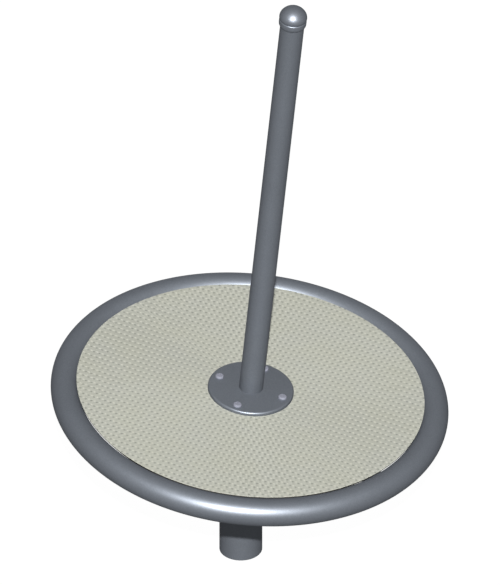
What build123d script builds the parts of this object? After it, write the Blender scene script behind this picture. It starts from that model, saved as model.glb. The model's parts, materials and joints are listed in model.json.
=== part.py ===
from build123d import *
import os
from math import radians, sin, sqrt

# A stand-up playground spinner. A round deck in a tube rim turns on a short ground post, and a
# pole stands on the middle of the deck. Millimetres, +Z up, origin at the centre of the post's foot.
#
# The post is upright. The turning axis leans towards +X and crosses the post's axis at the pivot.
# The head on the post has a slanted top, square to the turning axis. Everything above it is drawn
# upright, with heights counted from the pivot along the turning axis, and is then leaned over as
# one by `leaning`.

os.makedirs("parts", exist_ok=True)

# ---- Overall ----
lean_angle = 5.5  # of the turning axis from upright, in degrees
pivot_height = 222.0  # from the ground to the point where the two axes cross
rim_height = 246.0  # from the pivot to the rim's middle plane, along the turning axis
rim_diameter = 1000.0  # over the outside of the rim
mast_height = 1181.5  # from the flange's top face to the top of the cap

# ---- Post and its head ----
post_diameter = 108.0
post_wall = 4.0
head_depth = 16.0  # of the post's square-cut top below the pivot
head_step = 2.0  # the head is smaller than the post all round by this, for its weld
head_thickness = 12.0  # from the pivot up to the head's slanted top, along the turning axis

# ---- Rim ----
rim_tube_diameter = 70.0
rim_tube_wall = 3.0

# ---- Deck ----
deck_thickness = 15.0
deck_drop = 8.4  # from the rim's highest line down to the deck's top face
deck_edge_gap = 4.75  # between the deck's edge and the rim's tube, level with the deck's top
deck_edge_land = 3.0  # height of the deck's upright edge, above the bevel that clears the tube

# ---- Mast ----
mast_diameter = 60.3
mast_wall = 2.9
flange_diameter = 216.0
flange_thickness = 10.0
flange_edge_radius = 5.0
collar_thickness = 4.25  # of the collar's wall, round the mast
collar_height = 20.5
collar_foot_height = 11.0  # over which the collar's foot draws in to the mast
collar_top_radius = 1.9
cap_diameter = 69.6
cap_neck_diameter = 65.0  # where the cap meets the collar
cap_height = 35.5
cap_bulge_height = 6.5  # from the collar up to the cap's widest line
cap_knuckle_radius = 22.0  # of the dome's shoulder, below its flatter crown
cap_spigot_length = 30.0
cap_spigot_gap = 0.15  # between the spigot and the mast's bore, on the radius

# ---- Bolts that hold the flange, the deck and the hub plate together ----
flange_bolt_diameter = 12.0
flange_bolt_count = 4
flange_bolt_circle = 172.0
flange_bolt_turn = -4.0  # of the first bolt from +X, in degrees
flange_bolt_length = 55.0
flange_bolt_clearance = 1.0  # of the holes over the bolts, on the diameter
bolt_head_diameter = 21.0
bolt_head_height = 5.0
bolt_head_edge = 1.6  # height of the head's upright edge
bolt_head_flat = 14.0  # diameter of the flat on top of the head
bolt_pin_hole_diameter = 2.8  # of the two blind holes for a pin spanner
bolt_pin_hole_spacing = 9.0
bolt_pin_hole_depth = 2.5
sleeve_wall = 3.0
flange_washer_diameter = 24.0
flange_washer_thickness = 2.5
flange_nut_width = 18.0  # across flats
flange_nut_height = 12.0

# ---- Hub ----
hub_housing_wall = 10.0  # round the bearings
housing_ground_gap = 2.0  # between the housing's foot and the head
bearing_shoulder = 5.0  # height of the housing's shoulders that the outer rings seat on
hub_plate_thickness = 10.0
spigot_diameter = 40.0  # of the spindle's foot, in the head
spigot_length = 10.0  # of the foot, below the pivot
spindle_collar_diameter = 62.0
spindle_collar_height = 14.0

# ---- Bearings: two alike, 50 x 90 x 20 ----
bearing_bore = 50.0
bearing_outside = 90.0
bearing_width = 20.0
bearing_pitch_diameter = 70.0
bearing_inner_land = 62.4
bearing_outer_land = 77.8
ball_diameter = 12.7
ball_count = 10
ball_gap = 0.2  # between a ball and its grooves
cage_wall = 5.4
cage_height = 16.0
cage_pocket_gap = 0.1
seal_thickness = 1.2
seal_inset = 0.5  # of a bearing's seal from the ring's face
seal_gap = 0.4  # between a bearing's seal and the inner ring
spacer_wall = 4.0

# ---- Rubber lip seal at the housing's foot ----
lip_seal_height = 10.0
lip_seal_band = 2.5
lip_seal_web = 2.5
lip_seal_gap = 0.3  # between the lip and the spindle's collar

# ---- Lock nut on the spindle ----
spindle_thread_diameter = 45.0
lock_washer_diameter = 62.0
lock_washer_thickness = 4.0
lock_nut_diameter = 65.0
lock_nut_height = 11.0
lock_nut_slot_width = 6.0
lock_nut_slot_depth = 3.0
lock_nut_slot_count = 4
seat_relief = 2.0  # the bearing seat stops this far short of the upper ring's face
spindle_end = 4.0  # of thread that stands out of the lock nut
nut_headroom = 14.0  # between the spindle's end and the hub plate

# ---- Arms: rectangular tube ----
arm_count = 8
arm_height = 40.0
arm_width = 30.0
arm_wall = 3.0

# ---- Deck fixings: one lug on each arm, screwed from below ----
lug_length = 40.0  # along the arm
lug_reach = 40.0  # out from the arm's side
lug_thickness = 5.0
lug_corner_radius = 8.0
lug_inset = 42.5  # from the deck's edge in to the screw
lug_screw_reach = 22.0  # from the arm's side to the screw
lug_hole_clearance = 1.0
deck_screw_diameter = 8.0
deck_screw_head_width = 13.0  # across flats
deck_screw_head_height = 5.3
deck_washer_diameter = 16.0
deck_washer_thickness = 1.6
insert_diameter = 12.0
insert_length = 11.0

# ---- Places worked out from the sizes above ----
leaning = Location((0, 0, pivot_height), (0, lean_angle, 0))
post_top = pivot_height - head_depth

rim_tube_radius = rim_tube_diameter / 2
rim_radius = rim_diameter / 2 - rim_tube_radius
deck_top = rim_height + rim_tube_radius - deck_drop
deck_bottom = deck_top - deck_thickness
flange_top = deck_top + flange_thickness
hub_plate_bottom = deck_bottom - hub_plate_thickness
mast_bore = mast_diameter - 2 * mast_wall
cap_base = flange_top + mast_height - cap_height
collar_bottom = cap_base - collar_height

hub_housing_diameter = bearing_outside + 2 * hub_housing_wall
housing_bottom = head_thickness + housing_ground_gap
lower_bearing = head_thickness + spindle_collar_height
spindle_top = hub_plate_bottom - nut_headroom
lock_nut_top = spindle_top - spindle_end
lock_nut_bottom = lock_nut_top - lock_nut_height
upper_bearing_top = lock_nut_bottom - lock_washer_thickness
upper_bearing = upper_bearing_top - bearing_width

arm_bottom = deck_bottom - arm_height
arm_angles = [360 / arm_count * (index + 0.5) for index in range(arm_count)]


def rim_inner_radius(height):
    """Radius of the rim's inner surface at a height above the pivot, and never wider below."""
    above_middle = max(height - rim_height, 0)
    return rim_radius - sqrt(rim_tube_radius**2 - above_middle**2)


deck_radius = rim_inner_radius(deck_top) - deck_edge_gap
deck_underside_radius = rim_inner_radius(deck_bottom) - deck_edge_gap
lug_radius = deck_radius - lug_inset


# ---- Helpers ----
def disc(diameter, bottom, top):
    """Solid cylinder on the axis, between two heights."""
    upward = (Align.CENTER, Align.CENTER, Align.MIN)
    return Pos(0, 0, bottom) * Cylinder(diameter / 2, top - bottom, align=upward)


def ring(outside, inside, bottom, top):
    """Plain ring on the axis, between two heights."""
    return disc(outside, bottom, top) - disc(inside, bottom, top)


def turned(outline):
    """Solid turned from a closed outline of (radius, height) edges or points."""
    return revolve(Plane.XZ * make_face(outline), Axis.Z)


def hexagon(width, bottom, top):
    """Hexagonal bar on the axis, given its width across flats."""
    outline = RegularPolygon(width / 2, 6, major_radius=False)
    return Pos(0, 0, bottom) * extrude(outline, top - bottom)


def at_flange_bolts(shape):
    """One copy of a shape at each flange bolt."""
    places = PolarLocations(flange_bolt_circle / 2, flange_bolt_count, flange_bolt_turn)
    return [place * shape for place in places]


def at_deck_screws(shape):
    """One copy of a shape at each deck screw. Both sides of the deck mirror each other."""
    return [place * Pos(lug_radius, arm_side(angle) * (arm_width / 2 + lug_screw_reach)) * shape
            for angle, place in arm_places()]


def arm_places():
    """Each arm's angle, and the turn that carries a shape from +X to that arm."""
    return [(angle, Rot(0, 0, angle)) for angle in arm_angles]


def arm_side(angle):
    """The side of an arm that its lug is on: towards +X's far side, alike on both halves."""
    return 1 if sin(radians(angle)) > 0 else -1


def save(name, shape):
    """Lean a piece, or a group of like pieces, with the turning axis, and write it."""
    group = shape if isinstance(shape, list) else [shape]
    leaned = [leaning * piece for piece in group]
    export_step(leaned[0] if len(leaned) == 1 else Compound(leaned), f"parts/{name}.step")


# ---- Fixed pieces ----
def ground_post():
    """Upright tube, cut square at both ends. Not leaned."""
    return ring(post_diameter, post_diameter - 2 * post_wall, 0, post_top)


def post_head():
    """Upright round block on the post, its top cut slanted and bored for the spindle. Not leaned."""
    head_diameter = post_diameter - 2 * head_step
    block = disc(head_diameter, post_top, pivot_height + head_thickness + head_diameter)
    upward = (Align.CENTER, Align.CENTER, Align.MIN)
    above_cut = Box(3 * head_diameter, 3 * head_diameter, 3 * head_diameter, align=upward)
    bore = disc(spigot_diameter, -spigot_length, head_thickness)
    return block - leaning * Pos(0, 0, head_thickness) * above_cut - leaning * bore


def spindle():
    """Stepped stub axle: foot, collar that the lower bearing sits on, seat and thread."""
    foot = disc(spigot_diameter, -spigot_length, head_thickness)
    collar = disc(spindle_collar_diameter, head_thickness, lower_bearing)
    seat = disc(bearing_bore, lower_bearing, upper_bearing_top - seat_relief)
    thread = disc(spindle_thread_diameter, upper_bearing_top - seat_relief, spindle_top)
    return foot + collar + seat + thread


def bearing_spacer_tube():
    """Tube between the two inner rings."""
    outside = bearing_bore + 2 * spacer_wall
    return ring(outside, bearing_bore, lower_bearing + bearing_width, upper_bearing)


def spindle_washer():
    """Thick washer on the upper inner ring."""
    return ring(lock_washer_diameter, spindle_thread_diameter, upper_bearing_top, lock_nut_bottom)


def spindle_lock_nut():
    """Round nut with slots for a hook spanner."""
    nut = ring(lock_nut_diameter, spindle_thread_diameter, lock_nut_bottom, lock_nut_top)
    slot = Pos(0, 0, lock_nut_bottom) * Box(
        2 * lock_nut_slot_depth, lock_nut_slot_width, lock_nut_height,
        align=(Align.CENTER, Align.CENTER, Align.MIN))
    for place in PolarLocations(lock_nut_diameter / 2, lock_nut_slot_count):
        nut = nut - place * slot
    return nut


# ---- Bearings ----
def ball_groove(bottom):
    """The round groove that the balls run in, for both rings at once."""
    groove = Torus(bearing_pitch_diameter / 2, ball_diameter / 2 + ball_gap)
    return Pos(0, 0, bottom + bearing_width / 2) * groove


def bearing_inner_ring(bottom):
    """Inner ring, fixed on the spindle."""
    blank = ring(bearing_inner_land, bearing_bore, bottom, bottom + bearing_width)
    return blank - ball_groove(bottom)


def bearing_outer_ring(bottom):
    """Outer ring, in the housing."""
    blank = ring(bearing_outside, bearing_outer_land, bottom, bottom + bearing_width)
    return blank - ball_groove(bottom)


def bearing_balls(bottom):
    """The set of balls."""
    middle = Pos(0, 0, bottom + bearing_width / 2)
    return [middle * place * Sphere(ball_diameter / 2)
            for place in PolarLocations(bearing_pitch_diameter / 2, ball_count)]


def bearing_cage(bottom):
    """Ring that keeps the balls apart, with a pocket for each."""
    middle = bottom + bearing_width / 2
    outside = bearing_pitch_diameter + cage_wall
    inside = bearing_pitch_diameter - cage_wall
    cage = ring(outside, inside, middle - cage_height / 2, middle + cage_height / 2)
    pocket = Rot(0, 90, 0) * Cylinder(ball_diameter / 2 + cage_pocket_gap, 2 * cage_wall)
    for place in PolarLocations(bearing_pitch_diameter / 2, ball_count):
        cage = cage - Pos(0, 0, middle) * place * pocket
    return cage


def bearing_seals(bottom):
    """The two thin seals, held by the outer ring and just clear of the inner one."""
    inside = bearing_inner_land + 2 * seal_gap
    low = bottom + seal_inset
    high = bottom + bearing_width - seal_inset
    return [ring(bearing_outer_land, inside, low, low + seal_thickness),
            ring(bearing_outer_land, inside, high - seal_thickness, high)]


# ---- Hub ----
def hub_housing():
    """Turned housing with a seat for each outer ring, and a shoulder behind each seat."""
    housing = ring(hub_housing_diameter, bearing_outside - 2 * bearing_shoulder,
                   housing_bottom, hub_plate_bottom)
    lower_seat = disc(bearing_outside, housing_bottom, lower_bearing + bearing_width)
    upper_seat = disc(bearing_outside, upper_bearing, hub_plate_bottom)
    return housing - lower_seat - upper_seat


def hub_seal():
    """Rubber lip seal between the housing and the spindle's collar."""
    band = bearing_outside / 2
    lip = spindle_collar_diameter / 2 + lip_seal_gap
    top = lower_bearing - (housing_bottom - head_thickness) / 2
    bottom = max(top - lip_seal_height, housing_bottom)
    web_top = bottom + lip_seal_web
    lip_top = (web_top + top) / 2
    return turned(Polyline(
        (band, bottom),
        (band, top),
        (band - lip_seal_band, top),
        (band - lip_seal_band, web_top),
        (lip + lip_seal_web, web_top),
        (lip + lip_seal_web / 2, lip_top),
        (lip, lip_top),
        (lip + lip_seal_web / 2, bottom),
        close=True))


def hub_plate():
    """Round plate under the deck. Its bore is wide enough to pass the upper bearing."""
    plate = ring(flange_diameter, bearing_outside, hub_plate_bottom, deck_bottom)
    hole = disc(flange_bolt_diameter + flange_bolt_clearance, hub_plate_bottom, deck_bottom)
    for cut in at_flange_bolts(hole):
        plate = plate - cut
    return plate


# ---- Rim, arms and lugs ----
def rim_half(start_angle):
    """Half of the rim: a tube bent round half a turn."""
    wall = Circle(rim_tube_radius) - Circle(rim_tube_radius - rim_tube_wall)
    half = revolve(Plane.XZ * Pos(rim_radius, rim_height) * wall, Axis.Z, 180)
    return Rot(0, 0, start_angle) * half


def arm_along_x():
    """Rectangular tube from the housing to the rim, stepped down under the hub plate."""
    outward = (Align.MIN, Align.CENTER, Align.MIN)
    outer = Box(rim_radius, arm_width, arm_height, align=outward)
    inner = Box(rim_radius, arm_width - 2 * arm_wall, arm_height - 2 * arm_wall, align=outward)
    tube = Pos(0, 0, arm_bottom) * outer - Pos(0, 0, arm_bottom + arm_wall) * inner
    rim_body = Pos(0, 0, rim_height) * Torus(rim_radius, rim_tube_radius)
    housing_body = disc(hub_housing_diameter, arm_bottom, deck_bottom)
    plate_body = disc(flange_diameter, hub_plate_bottom, deck_bottom)
    return tube - rim_body - housing_body - plate_body


def deck_lug(side):
    """Small plate on an arm's side, flush with the arm's top, with a hole for the deck screw."""
    middle = Pos(lug_radius, side * (arm_width + lug_reach) / 2, deck_bottom - lug_thickness)
    plate = middle * Box(lug_length, lug_reach, lug_thickness,
                         align=(Align.CENTER, Align.CENTER, Align.MIN))
    far_edges = plate.edges().filter_by(Axis.Z).sort_by(Axis.Y)
    far_edges = far_edges[-2:] if side > 0 else far_edges[:2]
    plate = fillet(far_edges, lug_corner_radius)
    hole = disc(deck_screw_diameter + lug_hole_clearance, deck_bottom - lug_thickness, deck_bottom)
    return plate - Pos(lug_radius, side * (arm_width / 2 + lug_screw_reach)) * hole


# ---- Deck and its fixings ----
def deck_panel():
    """Round panel, bevelled below so that its edge clears the rim's tube."""
    panel = turned(Polyline(
        (bearing_outside / 2, deck_bottom),
        (deck_underside_radius, deck_bottom),
        (deck_radius, deck_top - deck_edge_land),
        (deck_radius, deck_top),
        (bearing_outside / 2, deck_top),
        close=True))
    sleeve_hole = disc(sleeve_diameter(), deck_bottom, deck_top)
    insert_hole = disc(insert_diameter, deck_bottom, deck_bottom + insert_length)
    for cut in at_flange_bolts(sleeve_hole) + at_deck_screws(insert_hole):
        panel = panel - cut
    return panel


def sleeve_diameter():
    """Outside of the sleeves that carry the flange bolts through the deck."""
    return flange_bolt_diameter + flange_bolt_clearance + 2 * sleeve_wall


def deck_spacer_sleeve():
    """Sleeve that takes a flange bolt's clamping load past the deck."""
    bore = flange_bolt_diameter + flange_bolt_clearance
    return ring(sleeve_diameter(), bore, deck_bottom, deck_top)


def deck_insert():
    """Threaded insert, flush with the deck's underside."""
    return ring(insert_diameter, deck_screw_diameter, deck_bottom, deck_bottom + insert_length)


def deck_screw():
    """Hexagon-head screw, put in from below through the lug."""
    under_head = deck_bottom - lug_thickness - deck_washer_thickness
    head = hexagon(deck_screw_head_width, under_head - deck_screw_head_height, under_head)
    return head + disc(deck_screw_diameter, under_head, deck_bottom + insert_length)


def deck_screw_washer():
    """Washer under a deck screw's head."""
    top = deck_bottom - lug_thickness
    return ring(deck_washer_diameter, deck_screw_diameter, top - deck_washer_thickness, top)


# ---- Mast ----
def mast_flange():
    """Round plate on the deck, with the mast through its middle and a rounded top edge."""
    plate = ring(flange_diameter, mast_diameter, deck_top, flange_top)
    rim_edge = plate.edges().group_by(Axis.Z)[-1].sort_by(SortBy.RADIUS)[-1]
    plate = fillet(rim_edge, flange_edge_radius)
    hole = disc(flange_bolt_diameter + flange_bolt_clearance, deck_top, flange_top)
    for cut in at_flange_bolts(hole):
        plate = plate - cut
    return plate


def mast_tube():
    """The pole, from the flange's underside up to the cap."""
    return ring(mast_diameter, mast_bore, deck_top, cap_base)


def mast_collar():
    """Ring round the mast's top. Its top edge is rounded, and its foot draws in to the mast."""
    inside = mast_diameter / 2
    outside = inside + collar_thickness
    foot_top = collar_bottom + collar_foot_height
    sides = Polyline((inside, collar_bottom), (inside, cap_base), (outside, cap_base), (outside, foot_top))
    foot = TangentArc((outside, foot_top), (inside, collar_bottom), tangent=(0, -1))
    collar = turned(Curve() + [sides, foot])
    top_edge = collar.edges().group_by(Axis.Z)[-1].sort_by(SortBy.RADIUS)[-1]
    return fillet(top_edge, collar_top_radius)


def mast_cap():
    """Domed cap with a spigot in the mast's bore. The dome is a crown with rounder shoulders."""
    spigot = mast_bore / 2 - cap_spigot_gap
    neck = cap_neck_diameter / 2
    widest = cap_diameter / 2
    widest_height = cap_base + cap_bulge_height
    dome_height = cap_height - cap_bulge_height
    top = cap_base + cap_height
    knuckle = cap_knuckle_radius
    knuckle_centre = widest - knuckle
    crown = (dome_height**2 + knuckle_centre**2 - knuckle**2) / (2 * (dome_height - knuckle))
    shoulder_share = crown / (crown - knuckle)
    shoulder = (knuckle_centre * shoulder_share, top - crown + (crown - dome_height) * shoulder_share)
    foot = Polyline(
        (0, top),
        (0, cap_base - cap_spigot_length),
        (spigot, cap_base - cap_spigot_length),
        (spigot, cap_base),
        (neck, cap_base))
    bulge = TangentArc((widest, widest_height), (neck, cap_base), tangent=(0, -1))
    side = TangentArc((widest, widest_height), shoulder, tangent=(0, 1))
    dome = TangentArc((0, top), shoulder, tangent=(1, 0))
    return turned(Curve() + [foot, bulge, side, dome])


def flange_bolt():
    """Button-head bolt with two pin-spanner holes, so that it can't be undone by hand tools."""
    seat = flange_top
    edge = bolt_head_diameter / 2
    flat = bolt_head_flat / 2
    crown = seat + bolt_head_height
    sides = Polyline((flat, crown), (0, crown), (0, seat), (edge, seat), (edge, seat + bolt_head_edge))
    round_side = TangentArc((edge, seat + bolt_head_edge), (flat, crown), tangent=(0, 1))
    head = turned(Curve() + [sides, round_side])
    pin_hole = disc(bolt_pin_hole_diameter, crown - bolt_pin_hole_depth, crown)
    for place in PolarLocations(bolt_pin_hole_spacing / 2, 2):
        head = head - place * pin_hole
    return head + disc(flange_bolt_diameter, seat - flange_bolt_length, seat)


def flange_washer():
    """Washer under the hub plate."""
    top = hub_plate_bottom
    return ring(flange_washer_diameter, flange_bolt_diameter, top - flange_washer_thickness, top)


def flange_nut():
    """Lock nut on a flange bolt."""
    top = hub_plate_bottom - flange_washer_thickness
    nut = hexagon(flange_nut_width, top - flange_nut_height, top)
    return nut - disc(flange_bolt_diameter, top - flange_nut_height, top)


# ---- Write every piece ----
export_step(ground_post(), "parts/ground_post.step")
export_step(post_head(), "parts/post_head.step")
save("spindle", spindle())
save("bearing_spacer_tube", bearing_spacer_tube())
save("spindle_washer", spindle_washer())
save("spindle_lock_nut", spindle_lock_nut())

for bearing_name, bearing_height in (("lower", lower_bearing), ("upper", upper_bearing)):
    save(f"{bearing_name}_bearing_inner_ring", bearing_inner_ring(bearing_height))
    save(f"{bearing_name}_bearing_outer_ring", bearing_outer_ring(bearing_height))
    save(f"{bearing_name}_bearing_balls", bearing_balls(bearing_height))
    save(f"{bearing_name}_bearing_cage", bearing_cage(bearing_height))
    save(f"{bearing_name}_bearing_seals", bearing_seals(bearing_height))

save("hub_housing", hub_housing())
save("hub_seal", hub_seal())
save("hub_plate", hub_plate())
save("rim_half_rear", rim_half(0))
save("rim_half_front", rim_half(180))

arm_shape = arm_along_x()
for number, (arm_angle, arm_place) in enumerate(arm_places(), start=1):
    save(f"arm_{number}", arm_place * arm_shape)
    save(f"deck_lug_{number}", arm_place * deck_lug(arm_side(arm_angle)))

save("deck_panel", deck_panel())
save("deck_spacer_sleeves", at_flange_bolts(deck_spacer_sleeve()))
save("deck_inserts", at_deck_screws(deck_insert()))
save("deck_screws", at_deck_screws(deck_screw()))
save("deck_screw_washers", at_deck_screws(deck_screw_washer()))

save("mast_flange", mast_flange())
save("mast_tube", mast_tube())
save("mast_collar", mast_collar())
save("mast_cap", mast_cap())
save("flange_bolts", at_flange_bolts(flange_bolt()))
save("flange_washers", at_flange_bolts(flange_washer()))
save("flange_nuts", at_flange_bolts(flange_nut()))
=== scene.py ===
# %% [markdown]
# # A leaning stand-up spinner, piece by piece
# This lesson dresses a finished CAD model of a small playground spinner: a round deck in a thick
# tube rim that turns on a short ground post, with a pole to hold. The CAD gives every size, place
# and moving body. Blender adds what a render needs on top: fine turned surfaces, rounded edges,
# weld beads, the pressed pattern of the deck, and a finish for each kind of piece.
#
# We load the frame first.

# %% Load the frame
import json
import math

import bmesh
import bpy
from mathutils import Matrix, Vector


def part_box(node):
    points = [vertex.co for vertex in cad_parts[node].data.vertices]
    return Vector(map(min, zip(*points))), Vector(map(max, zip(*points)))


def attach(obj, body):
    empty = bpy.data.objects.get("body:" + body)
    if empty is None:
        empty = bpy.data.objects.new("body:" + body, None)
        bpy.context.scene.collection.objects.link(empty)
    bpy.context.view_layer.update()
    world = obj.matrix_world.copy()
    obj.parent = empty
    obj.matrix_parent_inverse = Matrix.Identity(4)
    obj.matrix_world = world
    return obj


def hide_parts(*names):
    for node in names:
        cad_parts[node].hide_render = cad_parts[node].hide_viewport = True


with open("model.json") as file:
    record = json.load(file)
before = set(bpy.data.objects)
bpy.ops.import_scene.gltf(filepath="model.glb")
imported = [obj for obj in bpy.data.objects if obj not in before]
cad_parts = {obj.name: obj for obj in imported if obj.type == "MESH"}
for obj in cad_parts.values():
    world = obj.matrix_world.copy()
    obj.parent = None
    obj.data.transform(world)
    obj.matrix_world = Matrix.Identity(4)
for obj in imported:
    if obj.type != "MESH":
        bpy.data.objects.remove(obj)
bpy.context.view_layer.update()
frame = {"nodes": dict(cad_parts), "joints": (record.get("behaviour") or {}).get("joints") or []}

# %% [markdown]
# ## Stand on the leaning axis
# Everything above the post is round about one leaning axis. Building it there directly would be
# awkward, so each piece is drawn upright about its own Z axis and then leaned over as an object.
# The lean comes from the model's own joint, so it can't disagree with the CAD. Heights below are
# metres along that axis from the pivot.

# %% The lean, and how to measure the CAD
joint = frame["joints"][0]
pivot = Vector(joint["pos_m"])
turn = Vector((0, 0, 1)).rotation_difference(Vector(joint["axis"]))
lean = Matrix.Translation(pivot) @ turn.to_matrix().to_4x4()
upright = Matrix.Identity(4)
mm = 0.001


def measure(*nodes, stand=lean):
    """Lowest and highest level, smallest and largest radius of CAD nodes about a standing axis."""
    back = stand.inverted()
    points = [back @ v.co for n in nodes for v in frame["nodes"][n].data.vertices]
    radii = [math.hypot(p.x, p.y) for p in points]
    return min(p.z for p in points), max(p.z for p in points), min(radii), max(radii)


def centres(node, stand=lean):
    """The middle of each loose part of a CAD node, such as each bolt of a set."""
    mesh = bmesh.new()
    mesh.from_mesh(frame["nodes"][node].data)
    bmesh.ops.remove_doubles(mesh, verts=mesh.verts, dist=1e-6)
    back, seen, found = stand.inverted(), set(), []
    for first in mesh.verts:
        part, queue = [], [first]
        while queue:
            vert = queue.pop()
            if vert not in seen:
                seen.add(vert)
                part.append(back @ vert.co)
                queue += [edge.other_vert(vert) for edge in vert.link_edges]
        if part:
            low = Vector(min(p[i] for p in part) for i in range(3))
            high = Vector(max(p[i] for p in part) for i in range(3))
            found.append((low + high) / 2)
    mesh.free()
    return found


rim_low, rim_high, _, rim_outer = measure("rim_half_front", "rim_half_rear")
tube_radius = (rim_high - rim_low) / 2
rim_level = (rim_high + rim_low) / 2
rim_radius = rim_outer - tube_radius
print(f"lean {math.degrees(turn.angle):.2f} degrees, rim tube {2 * tube_radius / mm:.1f} mm")

# %% [markdown]
# ## Camera
# A spinner like this is usually drawn in a near-parallel view from above one side, so that the
# round rim shows as a clean ellipse. A very long lens from far away gives that and still behaves
# like a real camera. It aims at a point straight above the rim's middle, as seen in the view.

# %% Place the camera
view_azimuth = math.radians(19.2)
view_elevation = math.radians(35.13)
lens_length = 1400.0  # mm, so the view is nearly parallel
view_height = 1.4646  # metres that the frame's long side covers at the rim
aim_across, aim_up = 0.0008, 0.2656  # from the rim's middle to the frame's middle

towards_camera = Vector((
    math.sin(view_azimuth) * math.cos(view_elevation),
    -math.cos(view_azimuth) * math.cos(view_elevation),
    math.sin(view_elevation)))
view_right = Vector((math.cos(view_azimuth), math.sin(view_azimuth), 0))
view_up = towards_camera.cross(view_right)
aim = lean @ Vector((0, 0, rim_level)) + view_right * aim_across + view_up * aim_up

camera_data = bpy.data.cameras.new("camera")
camera_data.lens = lens_length
camera_distance = view_height * lens_length / camera_data.sensor_width
camera_data.clip_start, camera_data.clip_end = 1.0, 2 * camera_distance
camera = bpy.data.objects.new("camera", camera_data)
camera.location = aim + towards_camera * camera_distance
camera.rotation_euler = towards_camera.to_track_quat("Z", "Y").to_euler()
bpy.context.scene.collection.objects.link(camera)
bpy.context.scene.camera = camera
print(f"camera {camera_distance:.1f} m away")

# %% [markdown]
# ## Light
# One lamp near the camera shows round tubes best: a bright line runs along the middle of each and
# both edges fall off evenly. It is a sun lamp with a narrow angle, so the rim's shadow on the post
# has a crisp edge.
# The walls look white but give little light, so that edges stay dark and shapes read clearly. The
# lower half of the world is a bit brighter: it stands for light that a pale floor throws back up.
# A second, low lamp from behind keeps the far side from going black. It gives no mirror glints.

# %% Lamp and walls
def sun(name, azimuth, elevation, strength, softness):
    """A sun lamp that shines from a compass angle and a height, in degrees."""
    lamp = bpy.data.lights.new(name, "SUN")
    lamp.energy, lamp.angle = strength, math.radians(softness)
    holder = bpy.data.objects.new(name, lamp)
    a, e = math.radians(azimuth), math.radians(elevation)
    source = Vector((math.sin(a) * math.cos(e), -math.cos(a) * math.cos(e), math.sin(e)))
    holder.rotation_euler = source.to_track_quat("Z", "Y").to_euler()
    bpy.context.scene.collection.objects.link(holder)
    return holder


sun("key_light", azimuth=19.5, elevation=39.1, strength=5.0, softness=0.8)
back_fill = sun("back_fill", azimuth=199.2, elevation=2.0, strength=3.0, softness=5.0)
back_fill.visible_glossy = False


# %% [markdown]
# ## A few words for materials
# Every finish below is a small node tree. One function adds a node with its settings and links,
# so a material reads from top to bottom like a recipe. Colours are written as the hex values that
# a designer would pick, and one function turns them into the linear light that Cycles works in.

# %% Helpers for finishes
def linear(hex_colour):
    """A colour such as '8a9099' as linear light, with full opacity."""
    parts = [int(hex_colour[i:i + 2], 16) / 255 for i in (0, 2, 4)]
    return [c / 12.92 if c <= 0.04045 else ((c + 0.055) / 1.055) ** 2.4 for c in parts] + [1.0]


def add(tree, kind, inputs=None, **settings):
    """A node with its settings. Each input is given a plain value or another node's output."""
    node = tree.nodes.new("ShaderNode" + kind)
    for name, value in settings.items():
        setattr(node, name, value)
    for name, value in (inputs or {}).items():
        if isinstance(value, bpy.types.NodeSocket):
            tree.links.new(value, node.inputs[name])
        else:
            node.inputs[name].default_value = value
    return node


def new_finish(name):
    """An empty material, its tree, its shader, and the place on the object in metres."""
    material = bpy.data.materials.new(name)
    material.use_nodes = True
    tree = material.node_tree
    place = add(tree, "TexCoord").outputs["Object"]
    return material, tree, tree.nodes["Principled BSDF"], place


def per_metre(size_mm):
    """Texture scale at which one grain, cell or ripple is this many millimetres across."""
    return 1000.0 / size_mm


# %% [markdown]
# ## Walls
# The world's strength depends on the direction that a ray leaves in, and a ray from the lens sees
# plain white. Standard view transform keeps whites white and the chosen colours as they are.

# %% Walls
wall_light, floor_glow = 0.12, 0.13
world = bpy.data.worlds.new("studio_walls")
world.use_nodes = True
walls = world.node_tree
direction = add(walls, "SeparateXYZ", {"Vector": add(walls, "TexCoord").outputs["Generated"]})
glow = add(walls, "MapRange", {
    "Value": direction.outputs["Z"], "From Min": -0.15, "From Max": 0.15,
    "To Min": floor_glow, "To Max": wall_light})
seen = add(walls, "LightPath").outputs["Is Camera Ray"]
strength = add(walls, "MapRange", {"Value": seen, "To Min": glow.outputs["Result"], "To Max": 1.0})
walls.links.new(strength.outputs["Result"], walls.nodes["Background"].inputs["Strength"])
walls.nodes["Background"].inputs["Color"].default_value = (1, 1, 1, 1)
bpy.context.scene.world = world
bpy.context.scene.view_settings.view_transform = "Standard"
print("walls give", wall_light, "and the floor", floor_glow)

# %% [markdown]
# ## Powder coat with mica
# Rim, pole, post and arms are steel tube, blasted and powder coated. The blue-grey coat holds fine
# flakes of mica iron oxide, so it is half way to a metal: grey and calm where it faces away from
# the lamp, with one broad bright band where it faces it. Real flakes are about 0.05 mm across and
# can't show here, so they are drawn as 1.6 mm grains. Powder also melts into a soft orange peel of
# about 2.5 mm ripples, and its tone drifts a little over a hand's width where the coat is thicker.

# %% Powder coat
flake_mm, ripple_mm, drift_mm, scuff_mm = 1.6, 2.5, 140.0, 9.0
ripple_height = 0.03 * mm
half_metal = 0.72  # share of the light that meets flakes
edge_tint = (0.5, 0.5, 0.5, 1.0)  # dulls the mirror at grazing angles


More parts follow.
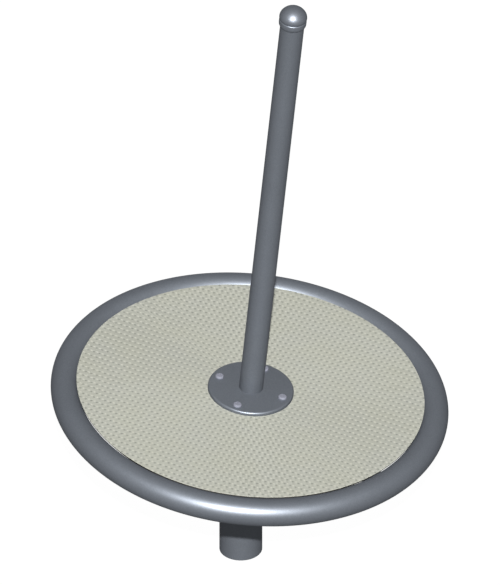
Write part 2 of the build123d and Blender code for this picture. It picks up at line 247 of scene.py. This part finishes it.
def powder_coat(name, hex_colour):
    material, tree, shader, place = new_finish(name)
    flakes = add(tree, "TexVoronoi", {"Vector": place, "Scale": per_metre(flake_mm)})
    flake = add(tree, "SeparateColor", {"Color": flakes.outputs["Color"]}).outputs["Red"]
    drift = add(tree, "TexNoise", {"Vector": place, "Scale": per_metre(drift_mm), "Detail": 3.0})
    scuffs = add(tree, "TexNoise", {
        "Vector": place, "Scale": per_metre(scuff_mm), "Detail": 6.0, "Roughness": 0.7})
    coat = linear(hex_colour)
    thin = [c * 1.10 for c in coat[:3]] + [1.0]
    thick = [c * 0.92 for c in coat[:3]] + [1.0]
    tone = add(tree, "Mix", {
        "Factor": drift.outputs["Fac"], "A": thick, "B": thin}, data_type="RGBA")
    glint = add(tree, "MapRange", {"Value": flake, "To Min": 0.93, "To Max": 1.07})
    colour = add(tree, "Mix", {
        "Factor": 1.0, "A": tone.outputs[2], "B": glint.outputs["Result"]},
        data_type="RGBA", blend_type="MULTIPLY")
    tree.links.new(colour.outputs[2], shader.inputs["Base Color"])
    rub = add(tree, "MapRange", {
        "Value": scuffs.outputs["Fac"], "From Min": 0.35, "From Max": 0.65,
        "To Min": 0.44, "To Max": 0.48})
    tree.links.new(rub.outputs["Result"], shader.inputs["Roughness"])
    peel = add(tree, "TexNoise", {"Vector": place, "Scale": per_metre(ripple_mm), "Detail": 1.0})
    bump = add(tree, "Bump", {
        "Height": peel.outputs["Fac"], "Distance": ripple_height, "Strength": 0.6})
    tree.links.new(bump.outputs["Normal"], shader.inputs["Normal"])
    shader.inputs["Metallic"].default_value = half_metal
    shader.inputs["Specular Tint"].default_value = edge_tint
    return material


coat_grey = "90969f"
mica_coat = powder_coat("blue_grey_mica_powder_coat", coat_grey)
print("powder coat", [round(c, 3) for c in linear(coat_grey)[:3]])

# %% [markdown]
# ## Deck laminate
# The deck is a phenolic-faced panel, pressed against a coarse woven mesh so that wet soles grip it.
# The mesh leaves small pits where it knots, and knuckles between them. The pits and knuckles are
# real shapes, made further on. This finish paints the pits darker, as painted shade in the hollows,
# and the knuckles lighter, as a painted highlight. Its pattern uses the same spacing: the place is
# folded into one cell, and its distance to the middle of the pit and of the knuckle decides the
# tone. A fine paper-fibre mottle of about 3 mm covers it all.
# The pale faces are thin, and where the panel is sawn its edge is painted dark. This stands for
# its dark resin core and is also painted shade of the gap at the rim. The panel is drilled square
# to its mesh, so the lattice is turned like the circle of flange bolts.

# %% Deck laminate
cell_x, cell_y = 15.06 * mm, 17.2 * mm
pit_width, knuckle_width = 6.4 * mm, 6.0 * mm
knuckle_shift = Vector((cell_x / 2, 0.15 * cell_y))  # from a pit to the knuckle beside it
face_thickness, fibre_height = 0.8 * mm, 0.05 * mm
mottle_mm, cloud_mm = 3.0, 90.0
deck_under, deck_level, deck_bore, deck_radius = measure("deck_panel")
bolt_places = centres("flange_bolts")
first_bolt = max(bolt_places, key=lambda bolt: bolt.x)
lattice_turn = math.atan2(first_bolt.y, first_bolt.x)


def pressed_laminate(name, face_hex, pit_shade_hex, knuckle_highlight_hex, weather_hex, core_and_gap_shade_hex):
    material, tree, shader, place = new_finish(name)
    cell = (cell_x, cell_y, 1.0)
    squared = add(tree, "VectorRotate", {
        "Vector": place, "Angle": -lattice_turn}, rotation_type="Z_AXIS").outputs["Vector"]

    def spot(shift, width):
        """1 in the middle of each round spot of the lattice, fading to 0 at its edge."""
        moved = add(tree, "VectorMath", {
            0: squared, 1: (cell_x / 2 - shift.x, cell_y / 2 - shift.y, 0.0)}, operation="ADD")
        folded = add(tree, "VectorMath", {
            0: moved.outputs[0], 1: cell}, operation="MODULO")
        folded = add(tree, "VectorMath", {
            0: folded.outputs[0], 1: cell}, operation="ADD")
        folded = add(tree, "VectorMath", {
            0: folded.outputs[0], 1: cell}, operation="MODULO")
        flat = add(tree, "VectorMath", {
            0: folded.outputs[0], 1: (1.0, 1.0, 0.0)}, operation="MULTIPLY")
        away = add(tree, "VectorMath", {
            0: flat.outputs[0], 1: (cell_x / 2, cell_y / 2, 0.0)}, operation="DISTANCE")
        return add(tree, "MapRange", {
            "Value": away.outputs["Value"], "From Min": 0.3 * width, "From Max": 0.62 * width,
            "To Min": 1.0, "To Max": 0.0}, interpolation_type="SMOOTHSTEP").outputs["Result"]

    mottle = add(tree, "TexNoise", {
        "Vector": place, "Scale": per_metre(mottle_mm), "Detail": 5.0, "Roughness": 0.65})
    cloud = add(tree, "TexNoise", {"Vector": place, "Scale": per_metre(cloud_mm), "Detail": 2.0})
    # the knuckles' lighter colour is a painted highlight
    face_and_highlight = add(tree, "Mix", {
        "Factor": spot(knuckle_shift, knuckle_width), "A": linear(face_hex),
        "B": linear(knuckle_highlight_hex)}, data_type="RGBA")
    # the pits' darker colour is painted shade in the hollows
    shaded_pits = add(tree, "Mix", {
        "Factor": spot(Vector((0.0, 0.0)), pit_width), "A": face_and_highlight.outputs[2], "B": linear(pit_shade_hex)},
        data_type="RGBA")
    shade = add(tree, "MapRange", {
        "Value": mottle.outputs["Fac"], "From Min": 0.3, "From Max": 0.7,
        "To Min": 0.95, "To Max": 1.05})
    fibre = add(tree, "Mix", {
        "Factor": 1.0, "A": shaded_pits.outputs[2], "B": shade.outputs["Result"]},
        data_type="RGBA", blend_type="MULTIPLY")
    weather = add(tree, "MapRange", {
        "Value": cloud.outputs["Fac"], "From Min": 0.3, "From Max": 0.7,
        "To Min": 0.0, "To Max": 0.12})
    aged = add(tree, "Mix", {
        "Factor": weather.outputs["Result"], "A": fibre.outputs[2], "B": linear(weather_hex)},
        data_type="RGBA")
    level = add(tree, "SeparateXYZ", {"Vector": place}).outputs["Z"]
    # the sawn edge is painted dark: the resin core, and painted shade of the gap at the rim
    under_face = add(tree, "MapRange", {
        "Value": level, "From Min": deck_level - 1.2 * face_thickness,
        "From Max": deck_level - face_thickness, "To Min": 1.0, "To Max": 0.0})
    in_core_and_gap_shade = add(tree, "MapRange", {
        "Value": level, "From Min": deck_under + 0.8 * face_thickness,
        "From Max": deck_under + face_thickness, "To Max": under_face.outputs["Result"]})
    sawn = add(tree, "Mix", {
        "Factor": in_core_and_gap_shade.outputs["Result"], "A": aged.outputs[2], "B": linear(core_and_gap_shade_hex)},
        data_type="RGBA")
    tree.links.new(sawn.outputs[2], shader.inputs["Base Color"])
    grain = add(tree, "Bump", {
        "Height": mottle.outputs["Fac"], "Distance": fibre_height, "Strength": 0.5})
    tree.links.new(grain.outputs["Normal"], shader.inputs["Normal"])
    shader.inputs["Roughness"].default_value = 0.62
    return material


# pit colour is painted shade, knuckle colour a painted highlight, core colour partly painted shade
deck_face = pressed_laminate(
    "mesh_pressed_phenolic_laminate", face_hex="b1b2a8", pit_shade_hex="90928a", knuckle_highlight_hex="c2c2b7",
    weather_hex="b3b293", core_and_gap_shade_hex="3d3a37")
print(f"deck cell {cell_x / mm:.2f} x {cell_y / mm:.2f} mm")
print(f"turned by {math.degrees(lattice_turn):.1f} degrees")

# %% [markdown]
# ## Bare metals
# Bolts, nuts and washers are stainless steel, bead blasted so that they don't dazzle. The spindle
# and its nut are turned on a lathe, which leaves fine rings across the axis. The bearing parts are
# ground and almost mirror-bright, and the brass inserts are moulded into the deck's underside. All
# share one recipe: a metal's colour, a little tonal cloud, and a bump of the tool's own scale.

# %% Bare metals
tarnish_mm = 12.0


def bare_metal(name, hex_colour, metallic, roughness, grain_mm, grain_depth_mm, stretch=(1, 1, 1)):
    material, tree, shader, place = new_finish(name)
    scaled = add(tree, "VectorMath", {0: place, 1: stretch}, operation="MULTIPLY")
    grain = add(tree, "TexNoise", {
        "Vector": scaled.outputs[0], "Scale": per_metre(grain_mm), "Detail": 3.0})
    cloud = add(tree, "TexNoise", {"Vector": place, "Scale": per_metre(tarnish_mm), "Detail": 2.0})
    metal = linear(hex_colour)
    tone = add(tree, "Mix", {
        "Factor": cloud.outputs["Fac"], "A": [c * 0.9 for c in metal[:3]] + [1.0],
        "B": [min(c * 1.08, 1.0) for c in metal[:3]] + [1.0]}, data_type="RGBA")
    tree.links.new(tone.outputs[2], shader.inputs["Base Color"])
    rough = add(tree, "MapRange", {
        "Value": grain.outputs["Fac"], "To Min": roughness - 0.06, "To Max": roughness + 0.06})
    tree.links.new(rough.outputs["Result"], shader.inputs["Roughness"])
    bump = add(tree, "Bump", {
        "Height": grain.outputs["Fac"], "Distance": grain_depth_mm * mm, "Strength": 0.5})
    tree.links.new(bump.outputs["Normal"], shader.inputs["Normal"])
    shader.inputs["Metallic"].default_value = metallic
    return material


blasted_stainless = bare_metal("bead_blasted_stainless_steel", "8a8c98", 0.15, 0.8, 0.8, 0.02)
turned_steel = bare_metal("turned_carbon_steel", "a9abad", 1.0, 0.33, 0.6, 0.01, (0.2, 0.2, 1.0))
bearing_steel = bare_metal("ground_bearing_steel", "c9cbcd", 1.0, 0.15, 0.5, 0.002)
insert_brass = bare_metal("knurled_brass", "c9a75e", 1.0, 0.35, 0.8, 0.02)

# %% [markdown]
# ## Moulded rubber and nylon
# The bearing seals and the lip seal are black nitrile rubber, and the ball cages are tan
# glass-filled polyamide. Both come out of a spark-eroded mould, whose fine pits of about half a
# millimetre give the skin a dull, even grain. They differ in colour and in how dull they are.

# %% Moulded rubber and nylon
bloom_mm, mould_pit_height = 20.0, 0.03 * mm


def moulded(name, hex_colour, roughness, pit_mm):
    material, tree, shader, place = new_finish(name)
    pits = add(tree, "TexNoise", {"Vector": place, "Scale": per_metre(pit_mm), "Detail": 4.0})
    bloom = add(tree, "TexNoise", {"Vector": place, "Scale": per_metre(bloom_mm), "Detail": 2.0})
    skin = linear(hex_colour)
    tone = add(tree, "Mix", {
        "Factor": bloom.outputs["Fac"], "A": [c * 0.85 for c in skin[:3]] + [1.0],
        "B": [c * 1.15 for c in skin[:3]] + [1.0]}, data_type="RGBA")
    tree.links.new(tone.outputs[2], shader.inputs["Base Color"])
    bump = add(tree, "Bump", {
        "Height": pits.outputs["Fac"], "Distance": mould_pit_height, "Strength": 0.5})
    tree.links.new(bump.outputs["Normal"], shader.inputs["Normal"])
    shader.inputs["Roughness"].default_value = roughness
    return material


seal_rubber = moulded("black_nitrile_rubber", "25262a", 0.7, 0.5)
cage_nylon = moulded("glass_filled_polyamide", "b39c72", 0.5, 0.6)

# %% [markdown]
# ## Dress the CAD nodes
# Many CAD nodes already have the right shape and are mostly hidden inside the hub. They keep their
# meshes and only swap the plain CAD colour for the finish of the same slot.

# %% Finishes for the CAD nodes
finish_of_slot = {
    "powder_coated_steel": mica_coat,
    "deck_laminate": deck_face,
    "stainless_steel": blasted_stainless,
    "turned_steel": turned_steel,
    "bearing_steel": bearing_steel,
    "cage_polyamide": cage_nylon,
    "seal_rubber": seal_rubber,
    "insert_brass": insert_brass,
}
slot_of_node = {name: node.data.materials[0].name for name, node in frame["nodes"].items()}
for name, node in frame["nodes"].items():
    node.data.materials[0] = finish_of_slot[slot_of_node[name]]
print(len(slot_of_node), "CAD nodes dressed")

# %% [markdown]
# ## Turned pieces
# Tubes, plates, collar and cap are all turned shapes. Their CAD meshes are fine enough to collide
# with but show flats in a close view, so we spin our own outlines with many more steps. An outline
# is a list of corners with a radius for each, because a real edge is never knife sharp and its
# rounding is what catches the light.

# %% Helpers for turned pieces
def rounded(corners, steps=6):
    """A closed outline of points from corners (radius, level, how round)."""
    outline = []
    for i, (x, y, size) in enumerate(corners):
        corner = Vector((x, y))
        before = (Vector(corners[i - 1][:2]) - corner).normalized()
        after = (Vector(corners[(i + 1) % len(corners)][:2]) - corner).normalized()
        if size <= 0:
            outline.append(corner)
            continue
        half = before.angle(after) / 2
        middle = corner + (before + after).normalized() * size / math.sin(half)
        start = corner + before * size / math.tan(half) - middle
        end = corner + after * size / math.tan(half) - middle
        sweep = math.pi - 2 * half
        for k in range(steps + 1):
            t = k / steps
            arm = start * math.sin((1 - t) * sweep) + end * math.sin(t * sweep)
            outline.append(middle + arm / math.sin(sweep))
    return outline


def spin(mesh, outline, steps, x=0.0, y=0.0):
    """Adds to a mesh the skin that a closed outline of (radius, level) sweeps about an axis."""
    turns = [(math.cos(2 * math.pi * k / steps), math.sin(2 * math.pi * k / steps))
             for k in range(steps)]
    rings = []
    for radius, level in outline:
        rings.append([mesh.verts.new((x + radius * across, y + radius * along, level))
                      for across, along in (turns if radius > 1e-6 else turns[:1])])
    for low, high in zip(rings, rings[1:] + rings[:1]):
        for k in range(steps):
            corners = (low[k % len(low)], low[(k + 1) % steps % len(low)],
                       high[(k + 1) % steps % len(high)], high[k % len(high)])
            corners = list(dict.fromkeys(corners))
            if len(corners) > 2:
                mesh.faces.new(corners)


def turned(outline, steps=192):
    """A new mesh, spun from a closed outline."""
    mesh = bmesh.new()
    spin(mesh, outline, steps)
    return mesh


wide_steps = 256

# %% [markdown]
# ## From mesh to piece
# Each mesh becomes an object that stands on its axis, rides on its CAD body and hides the CAD
# nodes that it stands for. Faces are shaded smooth except across real edges, so a fillet looks
# round and a flat stays flat. Pieces that need holes or notches are cut with a boolean, and the
# result is kept. Small pieces are spun in 192 steps, and wide ones need 256 to look as round.

# %% Helpers for pieces
crease = math.radians(24)


def as_object(name, mesh, stand=lean):
    """An object from a mesh, which is used up."""
    bmesh.ops.recalc_face_normals(mesh, faces=mesh.faces)
    data = bpy.data.meshes.new(name)
    mesh.to_mesh(data)
    mesh.free()
    thing = bpy.data.objects.new(name, data)
    thing.matrix_world = stand
    bpy.context.scene.collection.objects.link(thing)
    return thing


def cut(thing, tool, how="DIFFERENCE"):
    """Cuts a tool out of a thing, or joins it on, and removes the tool."""
    change = thing.modifiers.new("cut", "BOOLEAN")
    change.object, change.operation, change.solver = tool, how, "MANIFOLD"
    evaluated = thing.evaluated_get(bpy.context.evaluated_depsgraph_get())
    data = bpy.data.meshes.new_from_object(evaluated)
    thing.modifiers.clear()
    thing.data = data
    bpy.data.objects.remove(tool)
    return thing


def finished(thing, body, finish, slot, stands_for=()):
    """Shades, paints and hangs a piece on its body."""
    thing.data.name = thing.name
    thing.data.materials.clear()
    thing.data.materials.append(finish)
    thing.data.shade_smooth()
    thing.data.set_sharp_from_angle(angle=crease)
    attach(thing, body)
    if stands_for:
        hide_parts(*stands_for)
    print(f"{thing.name}: {len(thing.data.polygons)} faces")
    return thing


painted = (mica_coat, "powder_coated_steel")

# %% [markdown]
# ## Ground post
# A plain length of 108 mm tube, sawn square. Its foot is open, so the bore shows from below. The
# saw leaves an edge that the powder rounds to about half a millimetre.

# %% Ground post
post_foot, post_top, post_bore, post_side = measure("ground_post", stand=upright)
sawn_edge = 0.6 * mm
post = as_object("ground_post_tube", turned(rounded([
    (post_side, post_foot, sawn_edge),
    (post_side, post_top, sawn_edge),
    (post_bore, post_top, sawn_edge),
    (post_bore, post_foot, sawn_edge)])), upright)
finished(post, "post", *painted, ["ground_post"])

# %% [markdown]
# ## Rim
# The rim is one thick tube bent to a ring in two halves. Its two butt welds are ground flush and
# vanish under the powder, so one smooth ring stands for both halves. It is hollow and sealed, so
# only its outer skin is made.

# %% Rim
tube_steps = 72
rim_section = [(
    rim_radius + tube_radius * math.cos(2 * math.pi * k / tube_steps),
    rim_level + tube_radius * math.sin(2 * math.pi * k / tube_steps)) for k in range(tube_steps)]
rim = as_object("rim_tube", turned(rim_section, wide_steps))
finished(rim, "platform", *painted, ["rim_half_rear", "rim_half_front"])

# %% [markdown]
# ## Deck
# The panel is turned with a small round on its upper edge and a bevel below, which clears the rim.
# Then the mesh pattern is pressed in. One low round button is drawn per knuckle and joined on, and
# one per pit and cut out, all in a single boolean each. The pattern stops at the flange, because
# the panel is faced flat under it, and at the panel's edge. Last come the bolt and insert holes.

# %% Deck panel
flange_low, flange_high, flange_bore, flange_radius = measure("mast_flange")
deck_land = 3.0 * mm  # height of the panel's upright edge
deck_bevel = 10.25 * mm  # by which the bevel draws the underside in
sanded_edge, deck_top_edge = 0.5 * mm, 0.6 * mm
deck = as_object("deck_board", turned(rounded([
    (deck_bore, deck_under, 0.0),
    (deck_radius - deck_bevel, deck_under, sanded_edge),
    (deck_radius, deck_level - deck_land, sanded_edge),
    (deck_radius, deck_level, deck_top_edge),
    (deck_bore, deck_level, 0.0)]), wide_steps))
innermost, outermost = flange_radius + 1 * mm, deck_radius - 2 * mm  # limits of the pattern


def buttons(name, shift, width, rise, root, sides=12):
    """Low round buttons all over the deck. A negative rise and root give the tool for pits."""
    mesh = bmesh.new()
    count = int(deck_radius / min(cell_x, cell_y)) + 1
    dome = [(0.0, -root), (1.0, -root), (1.0, 0.0),
            (0.72, 0.48 * rise), (0.36, 0.87 * rise), (0.0, rise)]
    for column in range(-count, count + 1):
        for row in range(-count, count + 1):
            place = Vector((column * cell_x, row * cell_y)) + shift
            place.rotate(Matrix.Rotation(lattice_turn, 2))
            away = place.length
            if innermost + width / 2 < away < outermost - width / 2:
                spin(mesh, [(width / 2 * r, deck_level + z) for r, z in dome], sides, *place)
    print(name, "made", len(mesh.verts), "points")
    return as_object(name, mesh)


pit_depth, knuckle_rise, overlap = 0.4 * mm, 0.3 * mm, 0.4 * mm
cut(deck, buttons("knuckles", knuckle_shift, knuckle_width, knuckle_rise, overlap), "UNION")
cut(deck, buttons("pits", Vector((0.0, 0.0)), pit_width, -pit_depth, -overlap))

# %% Holes in the deck
sleeve_radius, insert_radius = 9.5 * mm, 6.0 * mm
past_top, blind = 1 * mm, 0.0
holes = bmesh.new()
for node, hole, past in (("deck_spacer_sleeves", sleeve_radius, past_top),
                         ("deck_inserts", insert_radius, blind)):
    low, high, _, _ = measure(node)
    low, high = low - mm, high + past
    parts = centres(node)
    for part in parts:
        spin(holes, [(0, low), (hole, low), (hole, high), (0, high)], 32, part.x, part.y)
    print(node, "at", len(parts), "places")
cut(deck, as_object("deck_holes", holes))
finished(deck, "platform", deck_face, "deck_laminate", ["deck_panel"])
deck.visible_glossy = False  # a dull panel that would still throw a pale sheen up the pole

# %% [markdown]
# ## Pole, flange, collar and cap
# The pole is welded to a round flange and its foot weld is dressed flush, so the two simply meet.
# At the top a collar stands round the tube. Its foot draws in to the tube along an arc, which turns
# away from the lamp and ends in a dark line. A domed cap is knocked into it. The cap's outline is
# three arcs that run into each other: a short swell from the neck out to its widest line, a
# tight knuckle, and a flatter crown. The centres follow from the tangents, so no arc has a kink.

# %% Pole and flange
flange_edge, flange_foot = 5.0 * mm, 0.5 * mm
flange = as_object("flange_plate", turned(rounded([
    (flange_bore, flange_low, 0.0),
    (flange_radius, flange_low, flange_foot),
    (flange_radius, flange_high, flange_edge),
    (flange_bore, flange_high, 0.0)]), wide_steps))
bolt_low, bolt_high, _, _ = measure("flange_bolts")
bolt_hole = 6.5 * mm
bolt_holes = bmesh.new()
for place in bolt_places:
    spin(bolt_holes, [(0, flange_low - mm), (bolt_hole, flange_low - mm),
                      (bolt_hole, flange_high + mm), (0, flange_high + mm)], 48, place.x, place.y)
cut(flange, as_object("bolt_holes", bolt_holes))
finished(flange, "platform", *painted, ["mast_flange"])
flange.visible_glossy = False  # pole and flange would throw a false bright streak on each other

mast_low, mast_high, mast_bore, mast_radius = measure("mast_tube")
mast = as_object("mast_pole", turned(rounded([
    (mast_radius, mast_low, 0.0),
    (mast_radius, mast_high, 0.0),
    (mast_bore, mast_high, 0.0),
    (mast_bore, mast_low, 0.0)])))
finished(mast, "platform", *painted, ["mast_tube"])
mast.visible_glossy = False

# %% Collar and cap
def arc(middle_radius, middle_level, size, start, end, steps):
    """Points along an arc, by the angle above level."""
    for k in range(steps + 1):
        angle = start + (end - start) * k / steps
        yield middle_radius + size * math.cos(angle), middle_level + size * math.sin(angle)


collar_low, collar_high, collar_bore, collar_radius = measure("mast_collar")
collar_foot = 11.0 * mm  # height over which the collar draws in to the pole
collar_edge = 3.0 * mm
collar_wall = collar_radius - collar_bore
foot_arc = (collar_wall ** 2 + collar_foot ** 2) / (2 * collar_wall)
foot_curve = arc(collar_radius - foot_arc, collar_low + collar_foot, foot_arc,
                 -math.asin(collar_foot / foot_arc), 0.0, 12)
collar = as_object("mast_top_collar", turned(rounded([(r, z, 0.0) for r, z in foot_curve] + [
    (collar_radius, collar_high, collar_edge),
    (collar_bore, collar_high, 0.0)])))
finished(collar, "platform", *painted, ["mast_collar"])

cap_low, cap_high, _, cap_radius = measure("mast_cap")
neck_radius, swell, knuckle = 32.5 * mm, 6.5 * mm, 22.0 * mm
spigot_slack = 0.15 * mm
cap_base = collar_high
widest = cap_base + swell
pinch = cap_radius - neck_radius
swell_arc = (pinch ** 2 + swell ** 2) / (2 * pinch)
rest = cap_high - widest
inset = cap_radius - knuckle
crown_arc = (inset ** 2 + rest ** 2 - knuckle ** 2) / (2 * (rest - knuckle))
crown_middle = cap_high - crown_arc
meeting = math.atan2(widest - crown_middle, inset)
spigot = mast_bore - spigot_slack
cap_outline = [(0.0, cap_low), (spigot, cap_low), (spigot, cap_base)]
cap_outline += list(arc(cap_radius - swell_arc, widest, swell_arc,
                        -math.asin(swell / swell_arc), 0.0, 8))
cap_outline += list(arc(inset, widest, knuckle, 0.0, meeting, 16))[1:]
cap_outline += list(arc(0.0, crown_middle, crown_arc, meeting, math.pi / 2, 10))[1:-1]
cap_outline += [(0.0, cap_high)]
cap = as_object("mast_top_cap", turned(cap_outline))
finished(cap, "platform", *painted, ["mast_cap"])
print(f"crown radius {crown_arc / mm:.1f} mm, swell radius {swell_arc / mm:.1f} mm")

# %% [markdown]
# ## Flange bolts
# Four button-head bolts hold the flange, the deck and the hub plate together. Their heads are low
# domes, almost flat on top, with two small blind holes for a pin spanner, so that nobody undoes
# them with a pocket tool. The dome is spun, the holes are cut, and the shank goes down to the nut.

# %% Flange bolts
head_radius, head_flat, head_edge, shank = 10.5 * mm, 7.0 * mm, 1.6 * mm, 6.0 * mm
pin_hole, pin_reach, pin_depth = 1.4 * mm, 4.5 * mm, 2.5 * mm
dome_rise, dome_run = bolt_high - flange_high - head_edge, head_radius - head_flat
bolts, pin_holes = bmesh.new(), bmesh.new()
for place in bolt_places:
    outline = [(0, bolt_low), (shank - mm, bolt_low), (shank, bolt_low + mm), (shank, flange_high),
               (head_radius, flange_high), (head_radius, flange_high + head_edge)]
    for k in range(1, 9):
        t = k / 8 * math.pi / 2
        outline.append((head_flat + dome_run * math.cos(t),
                        flange_high + head_edge + dome_rise * math.sin(t)))
    outline.append((0, bolt_high))
    spin(bolts, outline, 64, place.x, place.y)
    outward = Vector((place.x, place.y)).normalized() * pin_reach
    for x, y in (place.xy + outward, place.xy - outward):
        spin(pin_holes, [(0, bolt_high - pin_depth), (pin_hole, bolt_high - pin_depth),
                         (pin_hole, bolt_high + mm), (0, bolt_high + mm)], 20, x, y)
bolt_set = cut(as_object("flange_bolt_set", bolts), as_object("pin_holes", pin_holes))
finished(bolt_set, "platform", blasted_stainless, "stainless_steel", ["flange_bolts"])

# %% [markdown]
# ## Hub housing
# The turned hub housing hangs under the deck and hides both bearings. Only its outside and its foot
# can be seen, but it is spun with its real seats, so a cut through it would still be right.

# %% Hub housing
hub_low, hub_high, hub_bore, hub_radius = measure("hub_housing")
_, lower_seat_top, _, seat_radius = measure("lower_bearing_outer_ring")
upper_seat_foot, _, _, _ = measure("upper_bearing_outer_ring")
hub = as_object("hub_shell", turned(rounded([
    (hub_radius, hub_low, 1.5 * mm),
    (hub_radius, hub_high, 0.0),
    (seat_radius, hub_high, 0.0),
    (seat_radius, upper_seat_foot, 0.0),
    (hub_bore, upper_seat_foot, 0.0),
    (hub_bore, lower_seat_top, 0.0),
    (seat_radius, lower_seat_top, 0.0),
    (seat_radius, hub_low, 0.0)])))
finished(hub, "platform", *painted, ["hub_housing"])

# %% [markdown]
# ## Arms
# Eight arms of rectangular tube carry the rim. Such tube has rounded corners, and each end is
# coped: cut to the curve of what it is welded to. We draw one arm as a rounded bar that is too
# long, cut it with the shapes of the rim, the hub and the plate above, and then turn copies into
# place.

# %% One arm, coped at both ends
arm_low, arm_high, _, _ = measure("arm_1")
arm_width = 30.0 * mm
plate_low, _, _, plate_radius = measure("hub_plate")
corner_radius = 4.0 * mm
over = 5.0 * mm  # by which tools and blanks run past what they meet


def section(width, low, high, corner, steps=5):
    """Points round the section of a rectangular tube, as (across, level)."""
    half = width / 2
    middles = [(half - corner, high - corner, 0), (corner - half, high - corner, 90),
               (corner - half, low + corner, 180), (half - corner, low + corner, 270)]
    for across, level, first in middles:
        for k in range(steps + 1):
            angle = math.radians(first + 90 * k / steps)
            yield across + corner * math.cos(angle), level + corner * math.sin(angle)


arm_mesh = bmesh.new()
arm_section = list(section(arm_width, arm_low, arm_high, corner_radius))
inner_end, outer_end = [
    [arm_mesh.verts.new((x, y, z)) for y, z in arm_section]
    for x in (hub_radius - 2 * over, rim_radius)]
for k in range(len(arm_section)):
    arm_mesh.faces.new((inner_end[k - 1], inner_end[k], outer_end[k], outer_end[k - 1]))
for end in (inner_end, outer_end):
    arm_mesh.faces.new(end)
arm = as_object("arm_pattern", arm_mesh)
cut(arm, as_object("rim_tool", turned(rim_section, wide_steps)))
cut(arm, as_object("hub_tool", turned([
    (0, arm_low - over), (hub_radius, arm_low - over),
    (hub_radius, plate_low), (plate_radius, plate_low),
    (plate_radius, arm_high + over), (0, arm_high + over)], wide_steps)))

arm_turns = []
for number in range(1, 9):
    low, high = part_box(f"arm_{number}")
    middle = lean.inverted() @ ((low + high) / 2)
    arm_turns.append(math.atan2(middle.y, middle.x))
    data = arm.data.copy()
    data.transform(Matrix.Rotation(arm_turns[-1], 4, "Z"))
    copy = bpy.data.objects.new(f"arm_tube_{number}", data)
    copy.matrix_world = lean
    bpy.context.scene.collection.objects.link(copy)
    finished(copy, "platform", *painted, [f"arm_{number}"])
bpy.data.objects.remove(arm)
print("arms at", [round(math.degrees(a), 1) for a in arm_turns], "degrees")

# %% [markdown]
# ## Weld beads
# Where a bead isn't dressed, it stands as a small rippled roll along the joint. Each joint's line
# can be written down exactly: points of the arm's section, pushed out until they meet the hub or
# the rim. A bead is a thin tube swept along such a line, a bit fatter at every ripple.

# %% Weld beads
bead_width, post_bead_width, bead_ripple = 5.0 * mm, 4.4 * mm, 3.2 * mm
bead_swell = (0.9, 1.0, 1.05, 0.95)  # share of the width, four times in each ripple
post_bead_points = 96
steepest = 0.2  # a line closer to upright than this takes its side from +X


def bead(mesh, line, width=bead_width, sides=8):
    """Adds a rippled roll along a closed line of points."""
    steps = [(b - a).length for a, b in zip(line, line[1:] + line[:1])]
    length = sum(steps)
    ripples = max(round(length / bead_ripple), 3)
    count = ripples * len(bead_swell)
    points, at, index = [], 0.0, 0
    for k in range(count):
        goal = length * k / count
        while at + steps[index] < goal:
            at += steps[index]
            index += 1
        a, b = line[index], line[(index + 1) % len(line)]
        points.append(a.lerp(b, (goal - at) / steps[index]))
    rings = []
    for k, point in enumerate(points):
        along = (points[(k + 1) % count] - points[k - 1]).normalized()
        side = along.cross(Vector((0, 0, 1)))
        if side.length < steepest:
            side = along.cross(Vector((1, 0, 0)))
        side.normalize()
        other = along.cross(side)
        size = width / 2 * bead_swell[k % len(bead_swell)]
        rings.append([mesh.verts.new(point + size * (
            side * math.cos(2 * math.pi * j / sides) + other * math.sin(2 * math.pi * j / sides)))
            for j in range(sides)])
    for k in range(count):
        near, far = rings[k], rings[(k + 1) % count]
        shift = min(range(sides), key=lambda s: sum(
            (near[j].co - far[(j + s) % sides].co).length for j in range(sides)))
        for j in range(sides):
            mesh.faces.new((near[j], near[(j + 1) % sides],
                            far[(j + 1 + shift) % sides], far[(j + shift) % sides]))


def reach_to_rim(across, level):
    """How far out an arm's point goes before it meets the rim's tube."""
    inner = rim_radius - math.sqrt(tube_radius ** 2 - (level - rim_level) ** 2)
    return math.sqrt(inner ** 2 - across ** 2)


beads = bmesh.new()
for angle in arm_turns:
    spun = Matrix.Rotation(angle, 3, "Z")
    at_rim = [Vector((reach_to_rim(y, z), y, z)) for y, z in arm_section]
    at_hub = [Vector((math.sqrt(hub_radius ** 2 - y ** 2), y, z))
              for y, z in section(arm_width, arm_low, plate_low, corner_radius)]
    for line in (at_rim, at_hub):
        bead(beads, [spun @ p for p in line])
finished(as_object("arm_weld_beads", beads), "platform", *painted)

post_head_radius = measure("post_head", stand=upright)[3]
turns = [2 * math.pi * k / post_bead_points for k in range(post_bead_points)]
post_bead = bmesh.new()
bead(post_bead, [
    Vector((post_head_radius * math.cos(t), post_head_radius * math.sin(t), post_top))
    for t in turns], post_bead_width)
finished(as_object("post_weld_bead", post_bead, upright), "post", *painted)

# %% [markdown]
# ## Floor
# The spinner stands on a wide white floor, so large that its edge never shows. It is a light
# table, which glows by itself and thins out shadows until only a breath of them is left. The
# glow of the world already stands for the light that it throws up, so the floor itself is hidden
# from bounced and mirrored rays. It is only a stage and no part of the object.

# %% Floor
floor_reach, haze_per_metre, floor_emission = 60.0, 1.5, 0.985
floor_mesh = bmesh.new()
bmesh.ops.create_circle(floor_mesh, cap_ends=True, segments=96, radius=floor_reach)
floor = as_object("studio_floor", floor_mesh, upright)
floor_finish, tree, shader, place = new_finish("matt_white_studio_floor")
haze = add(tree, "TexNoise", {"Vector": place, "Scale": haze_per_metre, "Detail": 2.0})
tone = add(tree, "Mix", {
    "Factor": haze.outputs["Fac"], "A": linear("2b2b2b"), "B": linear("2e2e2e")}, data_type="RGBA")
tree.links.new(tone.outputs[2], shader.inputs["Base Color"])
shader.inputs["Roughness"].default_value = 0.9
shader.inputs["Emission Color"].default_value = (1, 1, 1, 1)
shader.inputs["Emission Strength"].default_value = floor_emission
floor.data.materials.append(floor_finish)
floor.visible_diffuse = floor.visible_glossy = False
